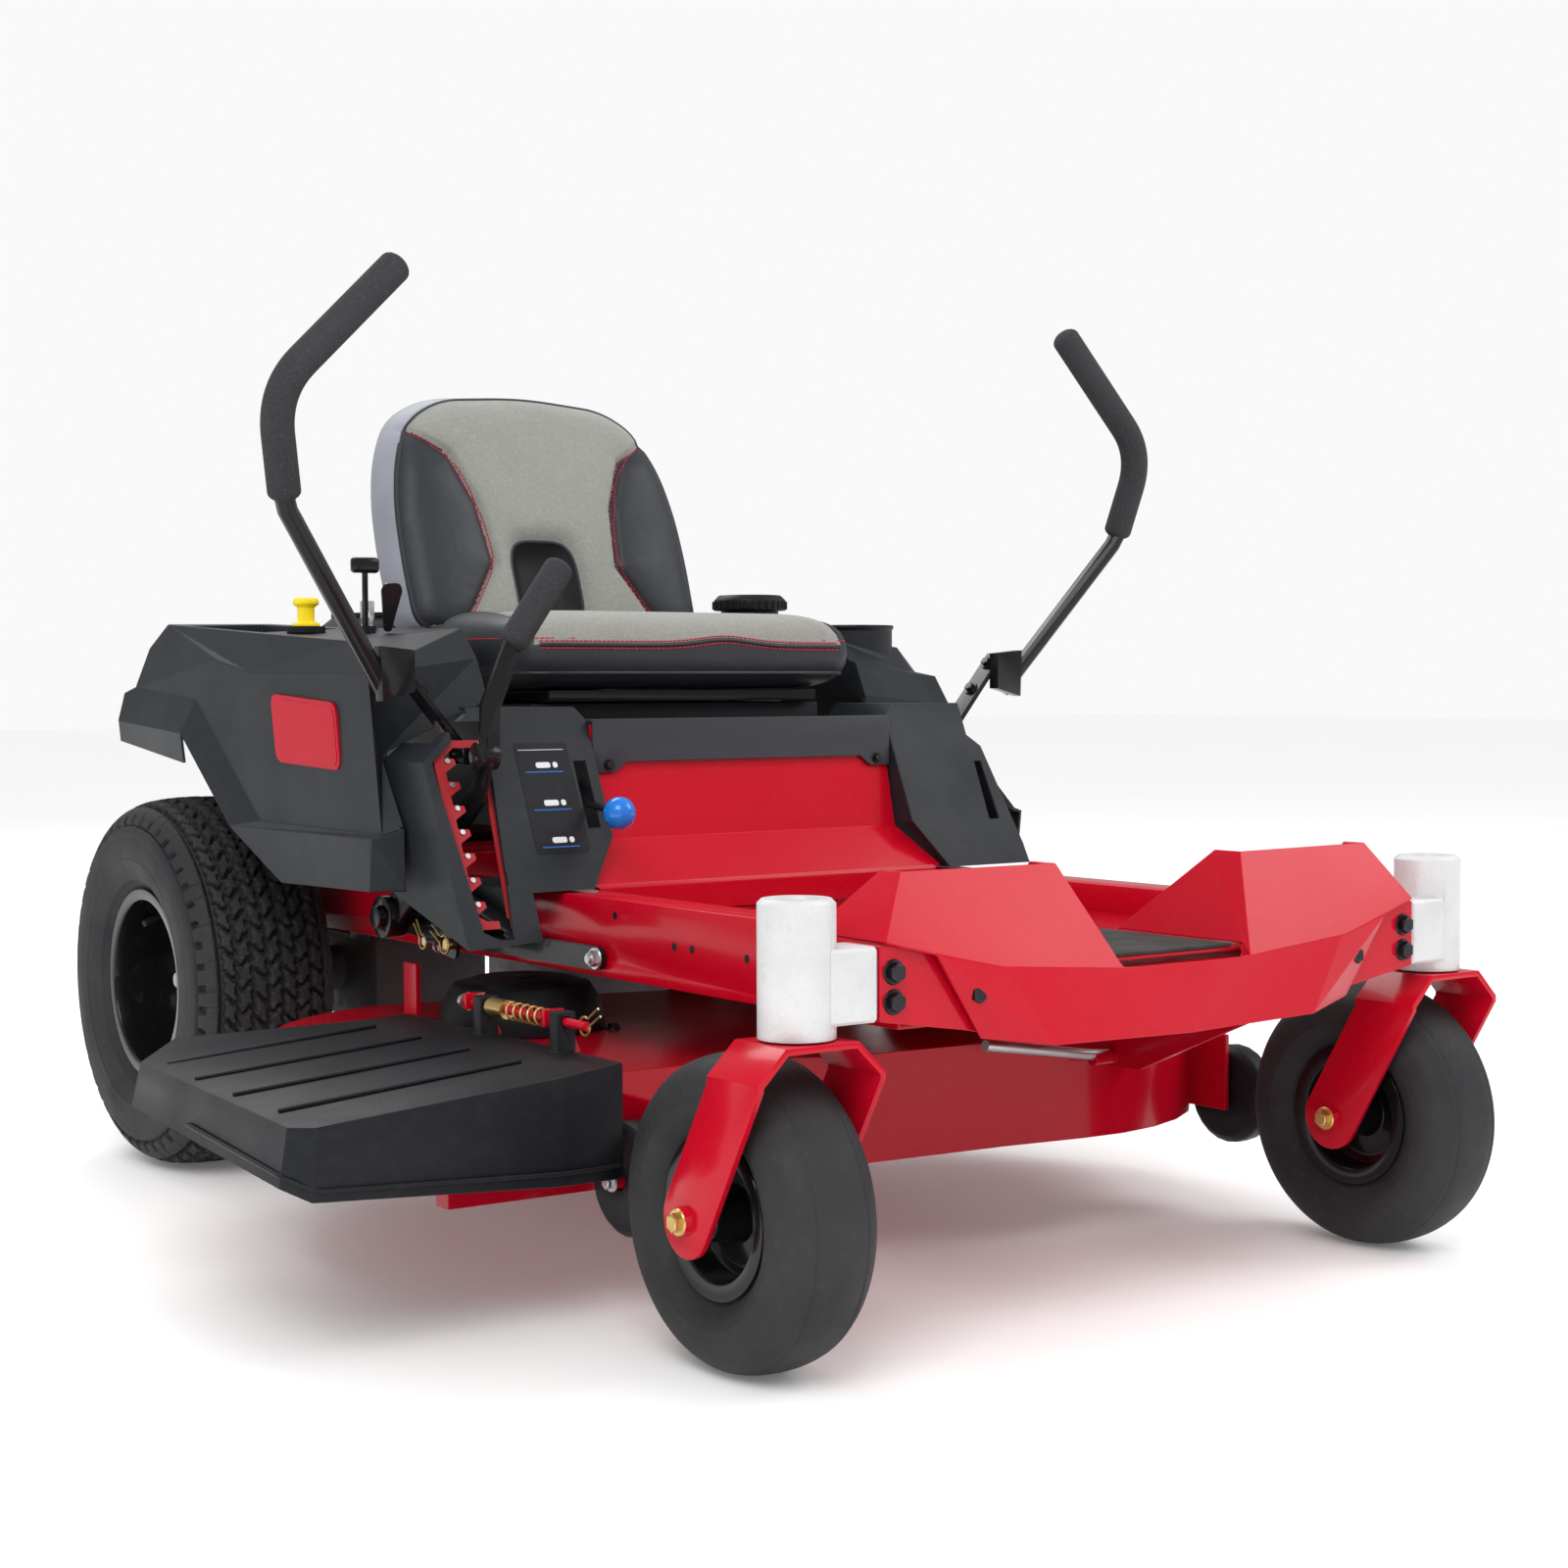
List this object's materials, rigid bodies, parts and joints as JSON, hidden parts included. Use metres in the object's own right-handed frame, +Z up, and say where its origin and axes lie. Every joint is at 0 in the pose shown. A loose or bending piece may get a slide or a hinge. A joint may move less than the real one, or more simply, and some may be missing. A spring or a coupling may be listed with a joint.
{
  "type": "riding_lawn_mower",
  "caption": "Zero-turn riding lawn mower: red frame, side-discharge deck, two lap-bar levers, front casters and a high-back seat",
  "frame": {"origin": "centre of the bounding box's footprint, on the ground", "axes": "-Y is forward, the machine's right side is -X, +Z is up"},
  "size_m": [1.3505, 1.8684, 1.0385],
  "materials": {
    "red_paint": "gloss powder coat",
    "black_paint": "gloss powder coat",
    "dark_plastic": "fine moulded grain",
    "chute_plastic": "matte",
    "panel_grey": "satin",
    "cast_silver": "as cast",
    "cast_iron": "as cast",
    "steel": "satin",
    "tyre_rubber": "matte",
    "foam": "closed-cell foam",
    "mat_rubber": "ribbed",
    "seat_vinyl": "grained vinyl",
    "yellow_plastic": "gloss",
    "blue_plastic": "gloss",
    "red_plastic": "satin"
  },
  "bodies": {
    "chassis": {"frame_rail_left": "red_paint", "frame_rail_right": "red_paint", "front_beam": "red_paint", "rear_frame": "red_paint", "rear_guard": "black_paint", "floor_pan": "red_paint", "grip_mat": "mat_rubber", "front_panel": "red_paint", "riser_panel": "red_paint", "battery_box": "dark_plastic", "seat_panel": "panel_grey", "caster_housing_left": "cast_silver", "caster_housing_right": "cast_silver", "transaxle_left": "cast_iron", "transaxle_right": "cast_iron", "engine_block": "cast_iron", "engine_shroud": "dark_plastic", "muffler": "steel", "fender_left": "dark_plastic", "fender_right": "dark_plastic", "pod_left": "dark_plastic", "pod_right": "dark_plastic", "height_rack": "red_plastic"},
    "seat": {"seat_cushion": "seat_vinyl", "seat_backrest": "seat_vinyl", "seat_shell": "black_paint"},
    "deck": {"deck_shell": "red_paint", "belt_cover_left": "dark_plastic", "belt_cover_right": "dark_plastic", "chute_rod": "red_paint"},
    "chute": {"discharge_chute": "chute_plastic"},
    "height_control": {"height_lever": "black_paint", "height_grip": "foam", "lift_shaft": "black_paint"},
    "speed_control": {"speed_lever": "black_paint", "speed_knob": "blue_plastic"},
    "blade_control": {"blade_switch": "yellow_plastic"},
    "choke": {"choke_knob": "black_paint"},
    "key": {"ignition_key": "steel"},
    "fuel_cap": {"fuel_cap": "dark_plastic"},
    "caster_left": {"caster_fork_left": "red_paint"},
    "caster_wheel_left": {"caster_tyre_left": "tyre_rubber", "caster_rim_left": "black_paint"},
    "drive_wheel_left": {"rear_tyre_left": "tyre_rubber", "rear_rim_left": "black_paint"},
    "lever_base_left": {"lever_base_left": "black_paint"},
    "lever_left": {"lever_arm_left": "black_paint", "lever_grip_left": "foam"},
    "blade_left": {"blade_spindle_left": "steel"},
    "roller_left": {"scalp_wheel_left": "chute_plastic"},
    "caster_right": {"caster_fork_right": "red_paint"},
    "caster_wheel_right": {"caster_tyre_right": "tyre_rubber", "caster_rim_right": "black_paint"},
    "drive_wheel_right": {"rear_tyre_right": "tyre_rubber", "rear_rim_right": "black_paint"},
    "lever_base_right": {"lever_base_right": "black_paint"},
    "lever_right": {"lever_arm_right": "black_paint", "lever_grip_right": "foam"},
    "blade_right": {"blade_spindle_right": "steel"},
    "roller_right": {"scalp_wheel_right": "chute_plastic"}
  },
  "joints": [
    {"name": "caster_swivel_left", "type": "hinge", "parent": "chassis", "child": "caster_left", "pos_m": [0.47555, -0.8665, 0.36], "axis": [0, 0, 1], "continuous": true},
    {"name": "caster_spin_left", "type": "hinge", "parent": "caster_left", "child": "caster_wheel_left", "pos_m": [0.47555, -0.7952, 0.139], "axis": [1, 0, 0], "continuous": true},
    {"name": "wheel_spin_left", "type": "hinge", "parent": "chassis", "child": "drive_wheel_left", "pos_m": [0.48085, 0.3842, 0.2285], "axis": [1, 0, 0], "continuous": true},
    {"name": "lever_push_left", "type": "hinge", "parent": "chassis", "child": "lever_base_left", "pos_m": [0.40475, -0.1648, 0.52], "axis": [1, 0, 0], "range_deg": [-6, 18]},
    {"name": "lever_swing_left", "type": "hinge", "parent": "lever_base_left", "child": "lever_left", "pos_m": [0.40475, -0.1648, 0.52], "axis": [0, -1, 0], "range_deg": [0, 24]},
    {"name": "roller_spin_left", "type": "hinge", "parent": "deck", "child": "roller_left", "pos_m": [0.48225, -0.5908, 0.13], "axis": [1, 0, 0], "continuous": true},
    {"name": "caster_swivel_right", "type": "hinge", "parent": "chassis", "child": "caster_right", "pos_m": [-0.33605, -0.8665, 0.36], "axis": [0, 0, 1], "continuous": true},
    {"name": "caster_spin_right", "type": "hinge", "parent": "caster_right", "child": "caster_wheel_right", "pos_m": [-0.33605, -0.7952, 0.139], "axis": [1, 0, 0], "continuous": true},
    {"name": "wheel_spin_right", "type": "hinge", "parent": "chassis", "child": "drive_wheel_right", "pos_m": [-0.34135, 0.3842, 0.2285], "axis": [1, 0, 0], "continuous": true},
    {"name": "lever_push_right", "type": "hinge", "parent": "chassis", "child": "lever_base_right", "pos_m": [-0.26525, -0.1648, 0.52], "axis": [1, 0, 0], "range_deg": [-6, 18]},
    {"name": "lever_swing_right", "type": "hinge", "parent": "lever_base_right", "child": "lever_right", "pos_m": [-0.26525, -0.1648, 0.52], "axis": [0, 1, 0], "range_deg": [0, 24]},
    {"name": "roller_spin_right", "type": "hinge", "parent": "deck", "child": "roller_right", "pos_m": [-0.31525, -0.5808, 0.13], "axis": [1, 0, 0], "continuous": true},
    {"name": "blade_spin_right", "type": "hinge", "parent": "deck", "child": "blade_right", "pos_m": [-0.20525, -0.1808, 0.125], "axis": [0, 0, 1], "continuous": true},
    {"name": "blade_spin_left", "type": "hinge", "parent": "deck", "child": "blade_left", "pos_m": [0.29475, -0.3308, 0.125], "axis": [0, 0, 1], "continuous": true},
    {"name": "seat_tilt", "type": "hinge", "parent": "chassis", "child": "seat", "pos_m": [0.06975, -0.1158, 0.568], "axis": [1, 0, 0], "range_deg": [0, 50]},
    {"name": "height_lever", "type": "hinge", "parent": "chassis", "child": "height_control", "pos_m": [0.06975, -0.0358, 0.335], "axis": [1, 0, 0], "range_deg": [-6.2, 31.1]},
    {"name": "deck_lift", "type": "slide", "parent": "chassis", "child": "deck", "axis": [0, 0, 1], "range_m": [-0.0637, 0.0128]},
    {"name": "chute_hinge", "type": "hinge", "parent": "deck", "child": "chute", "pos_m": [-0.34525, -0.4258, 0.272], "axis": [0, 1, 0], "range_deg": [0, 75]},
    {"name": "speed_lever", "type": "hinge", "parent": "chassis", "child": "speed_control", "pos_m": [-0.16025, -0.1608, 0.476], "axis": [-1, 0, 0], "range_deg": [0, 20]},
    {"name": "blade_switch_pull", "type": "slide", "parent": "chassis", "child": "blade_control", "axis": [0, 0, 1], "range_m": [0, 0.012]},
    {"name": "choke_pull", "type": "slide", "parent": "chassis", "child": "choke", "axis": [0, 0, 1], "range_m": [0, 0.03]},
    {"name": "key_turn", "type": "hinge", "parent": "chassis", "child": "key", "pos_m": [-0.25025, 0.0942, 0.67], "axis": [0, 0, 1], "range_deg": [-60, 30]},
    {"name": "fuel_cap_turn", "type": "hinge", "parent": "chassis", "child": "fuel_cap", "pos_m": [0.41475, 0.2562, 0.7], "axis": [0, 0, 1], "range_deg": [0, 120]}
  ],
  "couplings": [
    {"joint": "deck_lift", "follows": "height_lever", "m_per_rad": -0.11705},
    {"joint": "blade_spin_left", "follows": "blade_spin_right", "ratio": 1}
  ]
}
